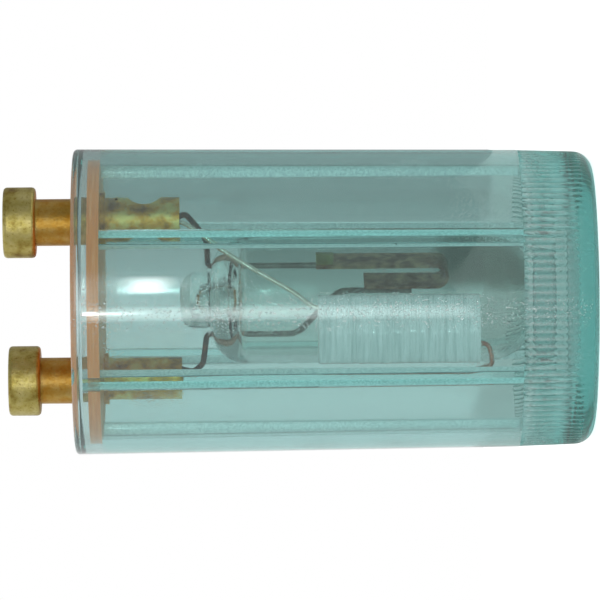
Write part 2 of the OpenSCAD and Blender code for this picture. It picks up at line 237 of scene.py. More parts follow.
def bumps(tree, height, depth_mm, strength=1.0):
    """A bump whose height of 1 stands depth_mm proud."""
    bump = add_node(
        tree,
        "ShaderNodeBump",
        inputs={"Strength": strength, "Distance": depth_mm * MM},
        links={"Height": height},
    )
    return bump.outputs["Normal"]


def finish_clear(tree, output, surface, shadow_tint):
    """Light reaches what a clear wall encloses: to shadow and diffuse rays it is a plain tint."""
    path = add_node(tree, "ShaderNodeLightPath").outputs
    passes = calculate(tree, "ADD", path["Is Shadow Ray"], path["Is Diffuse Ray"], clamp=True)
    clear = add_node(tree, "ShaderNodeBsdfTransparent")
    feed(tree, clear.inputs["Color"], shadow_tint)
    mix = add_node(
        tree,
        "ShaderNodeMixShader",
        links={0: passes, 1: surface, 2: clear.outputs[0]},
    )
    tree.links.new(mix.outputs[0], output.inputs["Surface"])


# Pieces


def add_piece(name, mesh, material, slot, *nodes):
    """Adds a rigid piece that stands for CAD nodes."""
    piece = bpy.data.objects.new(name, mesh)
    bpy.context.collection.objects.link(piece)
    mesh.materials.append(material)
    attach(piece, "root")
    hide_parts(*nodes)
    return piece


def skin_mesh(name, shells, sharp_degrees=50):
    """A mesh of closed shells. Each is a list of rings of points, and a ring of one point is a pole."""
    work = bmesh.new()
    for rings in shells:
        made = [[work.verts.new(point) for point in ring] for ring in rings]
        for first, second in zip(made, made[1:]):
            count = max(len(first), len(second))
            for i in range(count):
                j = (i + 1) % count
                corners = [
                    first[i % len(first)],
                    first[j % len(first)],
                    second[j % len(second)],
                    second[i % len(second)],
                ]
                work.faces.new(list(dict.fromkeys(corners)))
    bmesh.ops.remove_doubles(work, verts=work.verts, dist=1e-7)
    limit = math.radians(sharp_degrees)
    for face in work.faces:
        face.smooth = True
    for edge in work.edges:
        edge.smooth = edge.calc_face_angle(0) < limit
    mesh = bpy.data.meshes.new(name)
    work.to_mesh(mesh)
    work.free()
    return mesh


def turned_rings(profile, count, along=0.0, front=0.0):
    """Rings of a turned form from its (radius, height) points. A radius of 0 is a pole."""
    rings = []
    for radius, height in profile:
        if radius == 0:
            rings.append([at(along, front, height)])
            continue
        rings.append(
            [
                at(
                    along + radius * math.cos(2 * math.pi * i / count),
                    front - radius * math.sin(2 * math.pi * i / count),
                    height,
                )
                for i in range(count)
            ]
        )
    return rings


def arc(radius_at, height_at, r, start, end, steps):
    """Points of an arc in a half section, by its centre, radius and angles in degrees."""
    points = []
    for i in range(steps + 1):
        angle = math.radians(start + (end - start) * i / steps)
        points.append((radius_at + r * math.cos(angle), height_at + r * math.sin(angle)))
    return points


def rounded_route(route, cut, steps=6):
    """A route whose inner corners are rounded by short curves that reach cut along each side."""
    points = [route[0]]
    for before, corner, after in zip(route, route[1:], route[2:]):
        start = corner + (before - corner).normalized() * cut * MM
        end = corner + (after - corner).normalized() * cut * MM
        for k in range(steps + 1):
            t = k / steps
            points.append((1 - t) ** 2 * start + 2 * t * (1 - t) * corner + t * t * end)
    points.append(route[-1])
    return points


def add_wire(name, route, diameter, cut, material, slot, node):
    """A round wire along a route, with its inner corners rounded."""
    points = rounded_route(route, cut)
    sides = 14
    across = Vector((1, 0.3, 0.1))
    rings = [[points[0]]]
    for i, point in enumerate(points):
        ahead = points[min(i + 1, len(points) - 1)] - points[max(i - 1, 0)]
        ahead.normalize()
        across = (across - across.dot(ahead) * ahead).normalized()
        other = ahead.cross(across)
        r = diameter / 2 * MM
        rings.append(
            [
                point + r * (math.cos(a) * across + math.sin(a) * other)
                for a in (2 * math.pi * k / sides for k in range(sides))
            ]
        )
    rings.append([points[-1]])
    return add_piece(name, skin_mesh(name, [rings]), material, slot, node)


def soften_cad(name, material, smooth_degrees=32):
    """Gives a CAD node its material and smooth shading within each curved face."""
    group = bpy.data.node_groups.get("Smooth by angle")
    if group is None:
        group = bpy.data.node_groups.new("Smooth by angle", "GeometryNodeTree")
        group.interface.new_socket("Geometry", in_out="INPUT", socket_type="NodeSocketGeometry")
        group.interface.new_socket("Geometry", in_out="OUTPUT", socket_type="NodeSocketGeometry")
        start = add_node(group, "NodeGroupInput")
        angle = add_node(group, "GeometryNodeInputMeshEdgeAngle")
        low = add_node(
            group,
            "FunctionNodeCompare",
            {"operation": "LESS_THAN"},
            inputs={1: math.radians(smooth_degrees)},
            links={0: angle.outputs["Unsigned Angle"]},
        )
        faces = add_node(
            group, "GeometryNodeSetShadeSmooth", {"domain": "FACE"}, links={0: start.outputs[0]}
        )
        edges = add_node(
            group,
            "GeometryNodeSetShadeSmooth",
            {"domain": "EDGE"},
            links={0: faces.outputs[0], 2: low.outputs[0]},
        )
        add_node(group, "NodeGroupOutput", links={0: edges.outputs[0]})
    node = NODES[name]
    node.modifiers.new("Smooth by angle", "NODES").node_group = group
    for slot in node.material_slots:
        slot.material = material


# The can


class CanSettings(bpy.types.PropertyGroup):
    """Sizes and colours of the clear can."""

    rim_radius: length_property("Rim radius", "Outer radius at the open rim", 10.5)
    grip_radius: length_property("Grip radius", "Outer radius where the ridged grip starts", 10.225)
    grip_length: length_property("Grip length", "Length of the ridged grip", 5.1)
    ridges: IntProperty(name="Ridges", description="Ridges round the grip", default=120, min=12)
    ridge_depth: length_property("Ridge depth", "Depth of the grooves between the ridges", 0.16)
    ribs: IntProperty(name="Ribs", description="Ribs inside the can", default=6, min=1)
    rib_radius: length_property("Rib radius", "How near the ribs come to the axis", 8.475)
    tint: colour_property("Tint", "What each wall of the can leaves of the light", "#E6E8E7")
    depth_tint: colour_property("Depth tint", "What thick plastic leaves of the light", "#ACF6F4")
    dust: colour_property("Dust", "Colour of the specks on the can", "#2A2622")


RIB_TURN = 27
KEY_RIB = 4
# Share of a rib's height at each angle from its middle, in degrees: a flat top, steep sides and a fillet
RIB_SHAPE = [
    (1.7, 1.0), (1.9, 1.0), (2.2, 1.0), (2.4, 0.985), (2.5, 0.93), (2.53, 0.8),
    (2.7, 0.1), (2.95, 0.03), (3.4, 0.0),
]


def rib_share(angle):
    """How much of a rib's height stands at an angle from its middle."""
    if angle <= RIB_SHAPE[0][0]:
        return 1.0
    for (near, high), (far, low) in zip(RIB_SHAPE, RIB_SHAPE[1:]):
        if angle <= far:
            return high + (low - high) * (angle - near) / (far - near)
    return 0.0


def tinted_polycarbonate(settings):
    """Polycarbonate with a blue-green tint, injection moulded and handled for years.

    It gives the eye a glossy wall that deepens to teal where it is seen edge on, with patches of
    fine scratches that break up the highlights, a slight haze and a few specks of dust. White is painted
    on the ribs' edges and the ridges' crests as highlights, and on the nicks along the front as sparkle."""
    material, tree, output = new_material("Tinted polycarbonate")
    place = object_place(tree)
    patches = ramp(tree, grain(tree, place, 5.0, detail=2), [(0.5, 0.0), (0.75, 0.25)])
    # Painted sparkle: nicks are densest in a strip along the front, where the narrow lamp's highlight falls,
    # and their white there stands in for that highlight's sparkle
    side = distance_along(tree, place, SIDEWAYS)
    front = distance_along(tree, place, FORWARD)
    off_middle = calculate(tree, "ABSOLUTE", calculate(tree, "ADD", side, 0.9))
    strip = calculate(tree, "MULTIPLY_ADD", off_middle, -0.8, 1.2, clamp=True)
    strip = calculate(tree, "MULTIPLY", strip, calculate(tree, "GREATER_THAN", front, 9.8))
    scratches_and_sparkle = calculate(tree, "MAXIMUM", patches, strip)
    # Real scratches are a few micrometres wide, and are drawn coarser so that they show
    scratches = grain(tree, place, 0.11, detail=1, stretch=(1, 1, 0.7))
    nicks_and_sparkle = ramp(tree, scratches, [(0.6, 0.0), (0.68, 1.0)])
    nicks_and_sparkle = calculate(tree, "MULTIPLY", nicks_and_sparkle, scratches_and_sparkle)
    waves = grain(tree, place, 1.8, detail=1, stretch=(1, 1, 0.4))
    height = calculate(tree, "MULTIPLY_ADD", waves, 0.06, nicks_and_sparkle)
    haze = grain(tree, place, 2.2, detail=4)
    speck = add_node(
        tree, "ShaderNodeTexVoronoi", inputs={"Scale": 1 / (2.6 * MM)}, links={"Vector": place}
    )
    near = calculate(tree, "LESS_THAN", speck.outputs["Distance"], 0.035)
    chosen = add_node(tree, "ShaderNodeSeparateColor", links={0: speck.outputs["Color"]})
    picked = calculate(tree, "GREATER_THAN", chosen.outputs[0], 0.8)
    dust = calculate(tree, "MULTIPLY", near, picked)
    # Painted highlights: the ribs' edges and sides and the ridges' crests are drawn white, and the nicks are
    # white too, partly as scratches and partly as painted sparkle
    edge = add_node(tree, "ShaderNodeAttribute", {"attribute_name": "painted_highlight"}).outputs["Fac"]
    edge = calculate(tree, "MULTIPLY", edge, ramp(tree, scratches, [(0.4, 0.7), (0.6, 1.0)]))
    white = calculate(tree, "MAXIMUM", calculate(tree, "MULTIPLY", nicks_and_sparkle, 0.7), edge)
    tint = mix_colours(tree, white, settings.tint, "#FFFFFF")
    skin = add_node(
        tree,
        "ShaderNodeBsdfPrincipled",
        inputs={"IOR": 1.585},
        links={
            "Base Color": mix_colours(tree, dust, tint, settings.dust),
            "Roughness": ramp(tree, haze, [(0.4, 0.02), (0.75, 0.05)]),
            "Transmission Weight": calculate(tree, "MULTIPLY_ADD", white, -0.8, 0.95),
            "Normal": bumps(tree, height, 0.012, 1.0),
        },
    )
    depth = add_node(tree, "ShaderNodeVolumeAbsorption", inputs={"Density": 480.0})
    feed(tree, depth.inputs["Color"], settings.depth_tint)
    tree.links.new(depth.outputs[0], output.inputs["Volume"])
    finish_clear(tree, output, skin.outputs[0], "#FAFAFA")
    return material


def can_angles(ribs):
    """The angles in degrees at which the can's skin has points, closer together at the ribs."""
    middles = [RIB_TURN + i * 360 / ribs for i in range(ribs)]
    extra = [m + side * angle for m in middles for side in (-1, 1) for angle, share in RIB_SHAPE]
    even = [i * 0.5 for i in range(720)]
    kept = [a for a in even if all(abs((a - e + 180) % 360 - 180) > 0.06 for e in extra)]
    return sorted({a % 360 for a in kept + extra})


def can_shell(settings):
    """Rings of the can's skin, from the middle of the closed end over the rim to the inner floor."""
    angles = can_angles(settings.ribs)
    rim = settings.rim_radius / MM
    grip = settings.grip_radius / MM
    grip_length = settings.grip_length / MM
    rib_radius = settings.rib_radius / MM
    depth = settings.ridge_depth / MM
    middles = [RIB_TURN + i * 360 / settings.ribs for i in range(settings.ribs)]
    key = middles[min(KEY_RIB, len(middles) - 1)]
    taper = 0.15
    shrink = (taper / grip) / grip_length

    def ring(radius_of, height):
        points = []
        for degrees in angles:
            r = radius_of(degrees)
            a = math.radians(degrees)
            points.append(Vector((r * math.cos(a), r * math.sin(a), height)) * MM)
        return points

    def ridged(limit, height):
        """The ridges under a limit radius, on the grip's slight taper, fading out to the closed end."""
        start = min(1, 0.4 + max(height - 1, 0) * 0.4)

        def radius_of(degrees):
            groove = depth / 2 * (1 - math.cos(math.radians(degrees * settings.ridges)))
            groove *= start
            return min(limit, (grip - 0.03 - groove) * (1 - shrink * (grip_length - height)))

        return ring(radius_of, height)

    def ribbed(wall, height, which):
        """The inner wall with the ribs that stand at this height."""

        def radius_of(degrees):
            share = max(rib_share(abs((degrees - m + 180) % 360 - 180)) for m in which)
            return wall - share * max(wall - rib_radius, 0)

        return ring(radius_of, height)

    def plain(radius, height):
        return ring(lambda degrees: radius, height)

    corner = 1.3
    end_radius = grip - taper
    rings = [[Vector((0, 0, 0))], plain(4, 0), plain(7.6, 0)]
    rings += [ridged(r, z) for r, z in arc(end_radius - corner, corner, corner, -90, 0, 10)]
    rings += [ridged(grip + 1, z) for z in (1.9, 2.6, 3.4, 4.2, 4.8, grip_length)]
    rings += [plain(grip, grip_length + 0.02)]
    slope = (rim - grip) / (CAN_LENGTH - 0.3 - grip_length)
    rings += [plain(grip + slope * (z - grip_length), z) for z in (7, 12, 18, 24, 30, 34)]
    rings += [plain(r, z) for r, z in arc(rim - 0.3, CAN_LENGTH - 0.3, 0.3, 0, 90, 5)]
    # The mouth: flare, holding lip, counterbore with the key rib, and the disc's seat
    seat = DISC_BOTTOM - 0.01
    counterbore = rim - 0.65
    lip = counterbore - 0.3
    bore = rim - 1
    lip_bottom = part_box("base_disc")[1].z / MM + 0.35
    lip_top = lip_bottom + 0.3
    rings += [plain(lip + 0.2, CAN_LENGTH), plain(lip + 0.14, CAN_LENGTH - 0.04), plain(lip, lip_top)]
    rings += [plain(lip + 0.02, lip_top - 0.06), plain(counterbore, lip_bottom)]
    rings += [ribbed(counterbore, lip_bottom, [key]), ribbed(counterbore, seat, [key])]
    rings += [ribbed(bore, seat, middles)]
    # The bore narrows a little to the grip, and softly to the thick end
    deep = grip - 1
    narrow = grip - 1.7
    step = 2.4
    bore_slope = (bore - deep) / (seat - grip_length)
    for z in (30, 25, 20, 15, 10, 7, grip_length + 0.35):
        rings.append(ribbed(deep + bore_slope * (z - grip_length), z, middles))
    for i in range(9):
        share = 0.5 + 0.5 * math.cos(math.pi * i / 8)
        rings.append(ribbed(narrow + share * (deep - narrow), grip_length - step * i / 8, middles))
    floor = 0.7
    rings += [plain(narrow, grip_length - step - 0.1)]
    rings += [plain(r, z) for r, z in arc(narrow - 1.5, floor + 1.5, 1.5, 0, -90, 9)]
    rings += [plain(4, floor), [Vector((0, 0, floor)) * MM]]
    return rings


class STARTER_OT_can(bpy.types.Operator):
    """Mould the clear can with its grip, ribs, key and lip"""

    bl_idname = "starter.can"
    bl_label = "Can"

    def execute(self, context):
        settings = context.scene.starter_can
        mesh = skin_mesh("clear_can", [can_shell(settings)], 40)
        self.mark_painted_highlights(mesh, settings)
        add_piece("clear_can", mesh, tinted_polycarbonate(settings), "can", "can")
        return {"FINISHED"}

    def mark_painted_highlights(self, mesh, settings):
        """Marks the edges and sides of the ribs and the crests of the ridges, where the material paints
        highlights in white.
        """
        marks = mesh.attributes.new("painted_highlight", "FLOAT", "POINT")
        spacing = 360 / settings.ribs
        for vertex, mark in zip(mesh.vertices, marks.data):
            x, y, z = vertex.co
            degrees = math.degrees(math.atan2(y, x))
            radius = math.hypot(x, y)
            off = abs((degrees - RIB_TURN + spacing / 2) % spacing - spacing / 2)
            inside = settings.grip_length < z < 34 * MM and radius < 9.6 * MM
            # Painted highlights: the ribs' edges and sides, and the ridges' crests below, are drawn whiter
            # by the material
            if inside and 1.8 < off < 2.8:
                mark.value = 1.0
            elif z < settings.grip_length and radius > settings.grip_radius - 0.3 * MM:
                crest = 0.5 + 0.5 * math.cos(math.radians(degrees * settings.ridges))
                mark.value = crest * min(0.35, max(0, z / MM - 1.4) * 0.22)


# The disc and the pins


class EndSettings(bpy.types.PropertyGroup):
    """Colours of the disc and the pins."""

    board: colour_property("Board", "Colour of the disc's resin-bonded paper", "#FF984A")
    board_dark: colour_property("Board layers", "Colour of its darker layers", "#F08A40")
    brass: colour_property("Brass", "Colour of clean brass", "#B9AC62")
    tarnish: colour_property("Tarnish", "Colour of tarnished brass", "#84681A")
    neck: colour_property("Neck stain", "Orange stain of the pins' necks", "#BC862E")


def phenolic_paper(settings):
    """Paper bonded with phenolic resin, pressed and punched to a disc.

    It gives the eye smooth tan faces with short fibres and a browner edge of thin layers."""
    material, tree, output = new_material("Phenolic paper")
    place = object_place(tree)
    layers = grain(tree, place, 0.55, detail=2, stretch=(0.2, 0.2, 5))
    fibres = grain(tree, place, 0.3, detail=4, roughness=0.65)
    colour = ramp(tree, layers, [(0.35, settings.board_dark), (0.55, settings.board), (0.7, "#FFB070")])
    spots = ramp(tree, fibres, [(0.52, 0.0), (0.8, 0.45)])
    board = add_node(
        tree,
        "ShaderNodeBsdfPrincipled",
        inputs={"Roughness": 0.45, "IOR": 1.55},
        links={
            "Base Color": mix_colours(tree, spots, colour, settings.board_dark),
            "Normal": bumps(tree, fibres, 0.02, 0.5),
        },
    )
    tree.links.new(board.outputs[0], output.inputs["Surface"])
    return material


def worn_brass(settings):
    """Free-cutting brass, turned on an automatic lathe and handled bare.

    It gives the eye a golden metal with faint turning rings, small dents and pits, darker tarnish in
    patches and an orange stain in the necks, where nothing rubs it."""
    material, tree, output = new_material("Turned brass")
    place = object_place(tree)
    patches = grain(tree, place, 1.3, detail=5, roughness=0.6)
    fine = grain(tree, place, 0.2, detail=4, roughness=0.65)
    # Turning marks are 0.05 mm apart, and are drawn three times as coarse so that they show
    rings = grain(tree, place, 0.15, detail=1, stretch=(0.1, 0.1, 1))
    colour = ramp(tree, patches, [(0.32, settings.tarnish), (0.5, settings.brass), (0.7, "#CFC486")])
    # Painted light: the tubes inside the can get a brighter, more golden brass with pale painted highlights,
    # which makes up for the light that the can's tinted wall takes from them
    height = distance_along(tree, place, Vector((0, 0, 1)))
    clean = ramp(tree, patches, [(0.36, "#9A5E10"), (0.5, "#F0A838"), (0.62, "#FFDC86")])
    colour = mix_colours(tree, calculate(tree, "LESS_THAN", height, DISC_BOTTOM), colour, clean)
    pits = ramp(tree, fine, [(0.3, 0.75), (0.42, 0.0)])
    colour = mix_colours(tree, pits, colour, settings.tarnish)
    below_head = calculate(tree, "SUBTRACT", PIN_TOP - 2.0, height)
    above_rim = calculate(tree, "SUBTRACT", height, CAN_LENGTH - 0.6)
    in_neck = calculate(
        tree,
        "MULTIPLY",
        calculate(tree, "MULTIPLY", below_head, 2.5, clamp=True),
        calculate(tree, "MULTIPLY", above_rim, 2.0, clamp=True),
    )
    stain = calculate(tree, "MULTIPLY", in_neck, ramp(tree, patches, [(0.3, 0.9), (0.7, 0.45)]))
    colour = mix_colours(tree, stain, colour, settings.neck)
    relief = calculate(tree, "MULTIPLY_ADD", rings, 0.25, calculate(tree, "MULTIPLY", fine, 0.6))
    relief = calculate(tree, "MULTIPLY_ADD", patches, 1.6, relief)
    metal = add_node(
        tree,
        "ShaderNodeBsdfPrincipled",
        inputs={"Metallic": 1.0},
        links={
            "Base Color": colour,
            "Roughness": ramp(tree, fine, [(0.3, 0.5), (0.65, 0.34)]),
            "Normal": bumps(tree, relief, 0.06, 0.7),
        },
    )
    tree.links.new(metal.outputs[0], output.inputs["Surface"])
    return material


class STARTER_OT_disc(bpy.types.Operator):
    """Finish the disc that closes the can"""

    bl_idname = "starter.disc"
    bl_label = "Disc"

    def execute(self, context):
        soften_cad("base_disc", phenolic_paper(context.scene.starter_end))
        return {"FINISHED"}


class STARTER_OT_pins(bpy.types.Operator):
    """Finish the two contact pins"""

    bl_idname = "starter.pins"
    bl_label = "Contact pins"

    def execute(self, context):
        brass = worn_brass(context.scene.starter_end)
        for name in ("contact_pin_a", "contact_pin_b"):
            soften_cad(name, brass)
        return {"FINISHED"}


# The glow bulb


class BulbSettings(bpy.types.PropertyGroup):
    """Sizes and colours of the glow bulb."""

    radius: length_property("Radius", "Outer radius of the glass bulb", 4.5)
    wall: length_property("Wall", "Thickness of the bulb's glass", 0.55)
    tip_radius: length_property("Tip radius", "Radius of the sealed exhaust tip", 1.95)
    glass: colour_property("Glass", "What the clear glass takes from the light", "#E9F1EE")
    deposit: colour_property("Deposit", "Colour of the metal that darkens the closed end", "#A2B4AC")
    oxide: colour_property("Oxide", "Colour of the oxidised leads", "#33211B")
    electrode: colour_property("Electrode", "Colour of the electrode wires", "#6E6862")
    heat_tint: colour_property("Heat tint", "Red-brown of the heated strip", "#84503C")
    bracket: colour_property("Bracket", "Yellowed nickel of the bracket", "#8C874E")


def soft_glass(settings):
    """Soda-lime tube, blown shut at one end and pressed round its wires at the other.

    It gives the eye clear glass with a faint green cast, drawn streaks along its length, and a grey
    metal deposit that has sputtered on one side of the closed end."""
    material, tree, output = new_material("Blown soft glass")
    place = object_place(tree)
    streaks = grain(tree, place, 0.5, detail=2, stretch=(1, 1, 0.12))
    cloud = grain(tree, place, 1.5, detail=3)
    height = distance_along(tree, place, Vector((0, 0, 1)))
    side = distance_along(tree, place, SIDEWAYS)
    cloud_shift = calculate(tree, "MULTIPLY_ADD", cloud, 2.0, -1.0)
    low = calculate(tree, "SUBTRACT", calculate(tree, "ADD", 11.0, cloud_shift), height)
    upper = calculate(tree, "SUBTRACT", side, calculate(tree, "MULTIPLY_ADD", cloud_shift, 0.6, 0.3))
    deposit = calculate(
        tree,
        "MULTIPLY",
        calculate(tree, "MULTIPLY", low, 0.8, clamp=True),
        calculate(tree, "MULTIPLY", upper, 0.9, clamp=True),
    )
    # An IOR below the real 1.52 keeps the outlines in the pressed end faint behind the can's wall
    glass = add_node(
        tree,
        "ShaderNodeBsdfPrincipled",
        inputs={"Transmission Weight": 1.0, "IOR": 1.32, "Roughness": 0.0},
        links={
            "Base Color": mix_colours(tree, deposit, settings.glass, settings.deposit),
            "Normal": bumps(tree, streaks, 0.008, 0.6),
        },
    )
    finish_clear(tree, output, glass.outputs[0], settings.glass)
    return material


def wire_metal(name, main, light, grain_mm, rough, metallic, sealed=None):
    """Drawn wire or rolled strip, in blotches of two tones with fine marks from drawing.

    Where a sealed colour is given, the wire has it inside the bulb's glass."""
    material, tree, output = new_material(name)
    place = object_place(tree)
    blotch = grain(tree, place, grain_mm, detail=4, roughness=0.6)
    # The drawing marks are far finer, and are drawn coarser so that they show
    marks = grain(tree, place, 0.3, detail=2)
    colour = ramp(tree, blotch, [(0.38, main), (0.66, light)])
    if sealed:
        height = distance_along(tree, place, Vector((0, 0, 1)))
        in_glass = calculate(tree, "LESS_THAN", height, SEAL_TOP)
        colour = mix_colours(tree, in_glass, colour, sealed)
    metal = add_node(
        tree,
        "ShaderNodeBsdfPrincipled",
        inputs={"Metallic": metallic, "Roughness": rough},
        links={"Base Color": colour, "Normal": bumps(tree, marks, 0.012, 0.5)},
    )
    tree.links.new(metal.outputs[0], output.inputs["Surface"])
    return material


def uneven(ring, amount_mm, grain_mm, seed):
    """Moves a ring's points a little in or out from its middle, as blown glass does."""
    if len(ring) == 1:
        return ring
    middle = sum(ring, Vector()) / len(ring)
    moved = []
    for point in ring:
        shift = noise.noise(point / (grain_mm * MM) + Vector((seed, 0, 0)))
        moved.append(point + (point - middle).normalized() * shift * amount_mm * MM)
    return moved


def bulb_shells(settings):
    """The bulb's outside, and the hollow inside it with the bore of its exhaust tip."""
    r = settings.radius / MM
    inner = r - settings.wall / MM
    tip = settings.tip_radius / MM
    top = SEAL_TOP
    shoulder = top - 2.4
    pressed = top - 1.5
    dome_z = BULB_BOTTOM + r
    outside = [(0, BULB_BOTTOM)] + arc(0, dome_z, r, -86, 0, 16)
    outside += [(r, z) for z in (10, 13, 16, 19, 22)]
    outside += arc(r - 2.4, shoulder, 2.4, 0, 90, 10)
    outside += [(tip + 0.12, top + 0.02), (tip + 0.03, top + 0.09), (tip - 0.02, top + 0.25)]
    outside += [(tip, top + 0.6)] + arc(tip - 1.1, TIP_TOP - 1.1, 1.1, 0, 82, 8) + [(0, TIP_TOP)]
    inside = [(0, TIP_TOP - 1.05), (0.35, TIP_TOP - 1.12), (0.7, TIP_TOP - 1.4), (0.88, TIP_TOP - 1.85)]
    inside += [(0.92, top), (0.9, pressed + 0.3), (0.98, pressed - 0.05), (1.25, pressed - 0.2)]
    inside += [(2.1, pressed + 0.02), (2.9, pressed - 0.22), (3.6, pressed - 0.42)]
    inside += [(3.85, pressed - 0.6), (inner, shoulder - 0.2)]
    inside += [(inner, z) for z in (21, 18, 15, 12, 9)]
    inside += arc(0, dome_z, inner, 0, -86, 14) + [(0, dome_z - inner)]
    shells = []
    for profile, seed in ((outside, 3), (inside, 11)):
        rings = turned_rings(profile, 96, BULB_ALONG, BULB_FRONT)
        shell = []
        # The melted tip is the least even part
        for ring in rings:
            in_tip = ring[0].z > (top + 0.1) * MM
            shell.append(uneven(ring, 0.09 if in_tip else 0.015, 0.7 if in_tip else 2.0, seed))
        shells.append(shell)
    return shells


class STARTER_OT_bulb(bpy.types.Operator):
    """Blow the glow bulb's glass and make its wires and electrodes"""

    bl_idname = "starter.bulb"
    bl_label = "Glow bulb"

    def execute(self, context):
        settings = context.scene.starter_bulb
        mesh = skin_mesh("bulb_glass", bulb_shells(settings), 60)
        add_piece("bulb_glass", mesh, soft_glass(settings), "bulb_glass", "bulb_envelope", "bulb_stem")
        self.add_leads(settings)
        self.finish_electrodes(settings)
        return {"FINISHED"}

    def add_leads(self, settings):
        # Copper-clad wire with a thick oxide: nearly black, and brick red where glass has wetted it
        oxide = wire_metal("Oxidised copper-clad wire", settings.oxide, "#6A4634", 0.5, 0.42, 0.6, "#C9A090")
        top = SEAL_TOP

        def over(share):
            return top + share * (PIN_END - top)

        side = WIRE_OFFSET
        diameter = 0.4
        wire_a = BULB_ALONG + WIRE_SPREAD
        wire_b = BULB_ALONG - WIRE_SPREAD
        route_a = [
            at(PIN_ALONG - 0.1, PIN_FRONT - side * 0.7, PIN_END + 1.37),
            at(PIN_ALONG + 0.1, PIN_FRONT - side * 0.6, PIN_END + 0.3),
            at(PIN_ALONG + 0.45, PIN_FRONT - side * 0.7, over(0.83)),
            at(PIN_ALONG + 0.1, PIN_FRONT - side, over(0.67)),
            at(PIN_ALONG - 0.5, PIN_FRONT - 2.1, over(0.4)),
            at(wire_a + 1.6, BULB_FRONT + 1.3, over(0.15)),
            at(wire_a, BULB_FRONT, top + 0.26),
            at(wire_a, BULB_FRONT, WELD),
        ]
        route_b = [
            at(side * 0.8 - PIN_ALONG, -PIN_FRONT - side * 0.5, PIN_END + 2.7),
            at(side * 0.8 - PIN_ALONG, -PIN_FRONT - side * 0.5, PIN_END + 0.3),
            at(0.45 - PIN_ALONG, -PIN_FRONT - 0.2, over(0.62)),
            at(1 - PIN_ALONG, -PIN_FRONT, over(0.3)),
            at(wire_b, BULB_FRONT, top + 0.36),
            at(wire_b, BULB_FRONT, WELD),
        ]
        add_wire("lead_a", route_a, diameter, 0.3, oxide, "dark_wire", "lead_wire_a")
        add_wire("lead_b", route_b, diameter, 0.3, oxide, "dark_wire", "lead_wire_b")

    def finish_electrodes(self, settings):
        # Nickel-iron wire, dark from the bulb's making
        nickel = wire_metal("Nickel-iron wire", settings.electrode, "#A29C94", 0.7, 0.3, 0.8)
        strip_drop = 5.4
        strip_length = 8.3
        electrode_along = BULB_ALONG + 0.59
        electrode_front = BULB_FRONT - 0.962
        route = [
            at(BULB_ALONG - WIRE_SPREAD, BULB_FRONT, WELD),
            at(BULB_ALONG - WIRE_SPREAD, BULB_FRONT, WELD - strip_drop * 0.75),
            at(electrode_along, electrode_front, WELD - strip_drop * 1.3),
            at(electrode_along, electrode_front, WELD - strip_drop - strip_length * 0.8),
        ]
        add_wire("electrode_wire", route, 0.44, 0.6, nickel, "electrodes", "fixed_electrode")
        soften_cad("bimetal_post", nickel)
        # Rolled bimetal, which its heating has coloured from brown to straw
        soften_cad(
            "bimetal_strip", wire_metal("Heated bimetal", settings.heat_tint, "#D9B08C", 0.9, 0.3, 0.9)
        )
        # Folded nickel sheet, yellowed beside the getter
        soften_cad(
            "strip_bracket", wire_metal("Yellowed nickel sheet", settings.bracket, "#B5AE73", 0.6, 0.3, 0.9)
        )


# The capacitor


class CapacitorSettings(bpy.types.PropertyGroup):
    """Sizes and colours of the capacitor."""

    radius: length_property("Radius", "Radius of the wound roll", 2.35)
    crinkle: length_property("Crinkle", "Depth of the crinkles in the film", 0.07)
    film: colour_property("Film", "Colour of the metallised film", "#F2F5F4")
    tin: colour_property("Tin", "Colour of the tinned lead", "#D9D2C0")
    copper: colour_property("Copper", "Colour of the bare copper lead", "#A8583F")


def metallised_film(settings):
    """Thin plastic film with an evaporated metal coat, wound tight and fused at its ends.

    It gives the eye a silvery white roll with crinkles that run round it, painted lighter on their crests as
    highlights and greyer in their troughs as shade."""
    material, tree, output = new_material("Metallised film")
    place = object_place(tree)
    crinkles = grain(tree, place, 0.8, detail=4, roughness=0.6, stretch=(0.16, 0.16, 3))
    folds = grain(tree, place, 1.5, detail=3, roughness=0.6, stretch=(0.3, 0.3, 1.8))
    # Painted highlight and shade: the film is lighter on the crinkles' crests and greyer in their troughs
    colour = ramp(tree, crinkles, [(0.32, "#D8E0DF"), (0.5, settings.film), (0.62, "#FFFFFF")])
    height = calculate(tree, "ADD", crinkles, folds)
    film = add_node(
        tree,
        "ShaderNodeBsdfPrincipled",
        inputs={"Roughness": 0.3, "Coat Weight": 1.0, "Coat Roughness": 0.1},
        links={"Base Color": colour, "Normal": bumps(tree, height, 0.2, 1.0)},
    )
    tree.links.new(film.outputs[0], output.inputs["Surface"])
    return material


